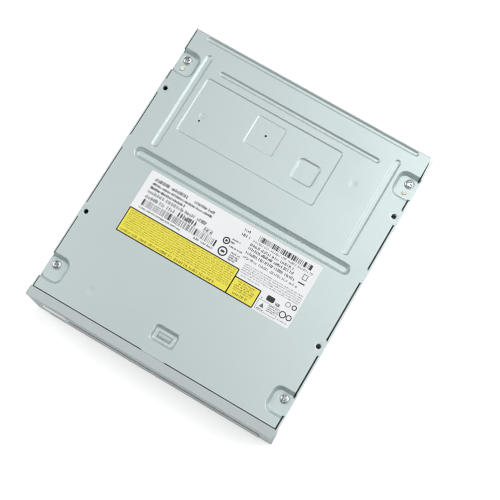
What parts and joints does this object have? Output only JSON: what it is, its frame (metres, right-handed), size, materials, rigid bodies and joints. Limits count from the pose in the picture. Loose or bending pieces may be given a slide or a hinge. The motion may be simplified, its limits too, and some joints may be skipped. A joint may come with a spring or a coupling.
{
  "type": "internal dvd writer",
  "caption": "Half-height internal optical disc writer for a 5.25 inch bay, lying on its top cover with its underside up, with a motorised disc tray.",
  "frame": {"origin": "middle of the bottom of the box, under the top cover, on which the drive lies upside down", "axes": "+Z out of the underside plate, -Y out of the front bezel, +X to the right seen from the bezel"},
  "size_m": [0.1474, 0.1712, 0.0414],
  "materials": {
    "zinc_sheet": "zinc-plated sheet, satin",
    "screw_steel": "bright zinc",
    "label_paper": "smooth printed paper",
    "bezel_plastic": "fine texture",
    "button_plastic": "fine texture",
    "lens_plastic": "clear, polished",
    "lamp_plastic": "clear",
    "board": "solder mask",
    "black_plastic": "satin",
    "red_plastic": "satin",
    "cream_plastic": "satin",
    "tray_plastic": "satin",
    "gear_plastic": "satin",
    "belt_rubber": "matte",
    "damper_rubber": "matte",
    "pad_rubber": "matte",
    "brass": "turned",
    "bright_steel": "bright",
    "spring_steel": "bright",
    "magnet": "nickel-plated",
    "cast_alloy": "die-cast zinc, matte",
    "lens_glass": "coated",
    "can_aluminium": "satin",
    "socket_plastic": "satin"
  },
  "bodies": {
    "case": {"top_cover": "zinc_sheet", "bottom_plate": "zinc_sheet", "cover_screws": "screw_steel", "rating_label": "label_paper", "front_bezel": "bezel_plastic", "led_lens": "lens_plastic", "indicator_led": "lamp_plastic", "front_board": "board", "eject_switch": "black_plastic", "main_frame": "cream_plastic", "drive_belt": "belt_rubber", "loading_motor": "bright_steel", "motor_screws": "screw_steel", "clamp_bridge": "zinc_sheet", "bridge_screws": "screw_steel", "main_board": "board", "controller_chip": "black_plastic", "driver_chip": "black_plastic", "memory_chip": "black_plastic", "thermal_pads": "pad_rubber", "capacitors": "can_aluminium", "data_power_connector": "black_plastic", "flat_cable_sockets": "socket_plastic", "board_screws": "screw_steel"},
    "tray": {"tray_door": "bezel_plastic", "disc_tray": "tray_plastic"},
    "eject_button": {"eject_button": "button_plastic", "switch_plunger": "red_plastic"},
    "drive_gear": {"tray_drive_gear": "gear_plastic"},
    "pulley": {"pulley_gear": "black_plastic"},
    "motor_shaft": {"motor_pulley": "brass"},
    "cam": {"cam_slider": "gear_plastic"},
    "lift": {"lift_frame": "black_plastic", "traverse_frame": "zinc_sheet", "rubber_dampers": "damper_rubber", "damper_screws": "screw_steel", "spindle_base": "zinc_sheet", "main_guide_rod": "bright_steel", "side_guide_rod": "bright_steel", "rod_clips": "spring_steel", "sled_motor": "bright_steel"},
    "turntable": {"spindle_rotor": "bright_steel", "turntable": "black_plastic", "turntable_pad": "damper_rubber", "hub_magnet": "magnet"},
    "pickup": {"pickup_body": "cast_alloy", "actuator_magnets": "magnet", "sled_nut": "gear_plastic"},
    "lens": {"lens_holder": "black_plastic", "objective_lens": "lens_glass"},
    "lead_screw": {"lead_screw": "bright_steel"},
    "clamper": {"clamper_hub": "tray_plastic", "clamper_yoke": "bright_steel"}
  },
  "joints": [
    {"name": "tray_slide", "type": "slide", "parent": "case", "child": "tray", "axis": [0, -1, 0], "range_m": [0, 0.138]},
    {"name": "tray_gear_spin", "type": "hinge", "parent": "case", "child": "drive_gear", "pos_m": [0.048, -0.06535, 0.018], "axis": [0, 0, 1], "continuous": true},
    {"name": "pulley_spin", "type": "hinge", "parent": "case", "child": "pulley", "pos_m": [0.03553, -0.05815, 0.022], "axis": [0, 0, 1], "continuous": true},
    {"name": "motor_spin", "type": "hinge", "parent": "case", "child": "motor_shaft", "pos_m": [0.008, -0.05115, 0.025], "axis": [0, 0, 1], "continuous": true},
    {"name": "drive_unit_lift", "type": "hinge", "parent": "case", "child": "lift", "pos_m": [0, 0.06865, 0.025], "axis": [-1, 0, 0], "range_deg": [0, 3.5]},
    {"name": "cam_slide", "type": "slide", "parent": "case", "child": "cam", "axis": [1, 0, 0], "range_m": [0, 0.01]},
    {"name": "turntable_spin", "type": "hinge", "parent": "lift", "child": "turntable", "pos_m": [0, -0.00935, 0.012], "axis": [0, 0, 1], "continuous": true},
    {"name": "clamper_spin", "type": "hinge", "parent": "case", "child": "clamper", "pos_m": [0, -0.00935, 0.006], "axis": [0, 0, 1], "continuous": true},
    {"name": "pickup_slide", "type": "slide", "parent": "lift", "child": "pickup", "axis": [0, 1, 0], "range_m": [0, 0.036]},
    {"name": "lead_screw_spin", "type": "hinge", "parent": "lift", "child": "lead_screw", "pos_m": [-0.035, 0.02065, 0.0252], "axis": [0, 1, 0], "continuous": true},
    {"name": "lens_focus", "type": "slide", "parent": "pickup", "child": "lens", "axis": [0, 0, -1], "range_m": [-0.0004, 0.0004], "stiffness_N_per_m": 60},
    {"name": "eject_press", "type": "slide", "parent": "case", "child": "eject_button", "axis": [0, 1, 0], "range_m": [0, 0.0007], "stiffness_N_per_m": 300}
  ],
  "couplings": [
    {"joint": "tray_gear_spin", "follows": "tray_slide", "rad_per_m": -125},
    {"joint": "pulley_spin", "follows": "tray_slide", "rad_per_m": 375},
    {"joint": "motor_spin", "follows": "tray_slide", "rad_per_m": 1312.5},
    {"joint": "cam_slide", "follows": "drive_unit_lift", "m_per_rad": 0.1637},
    {"joint": "clamper_spin", "follows": "turntable_spin", "ratio": 1},
    {"joint": "lead_screw_spin", "follows": "pickup_slide", "rad_per_m": 2094.4}
  ]
}
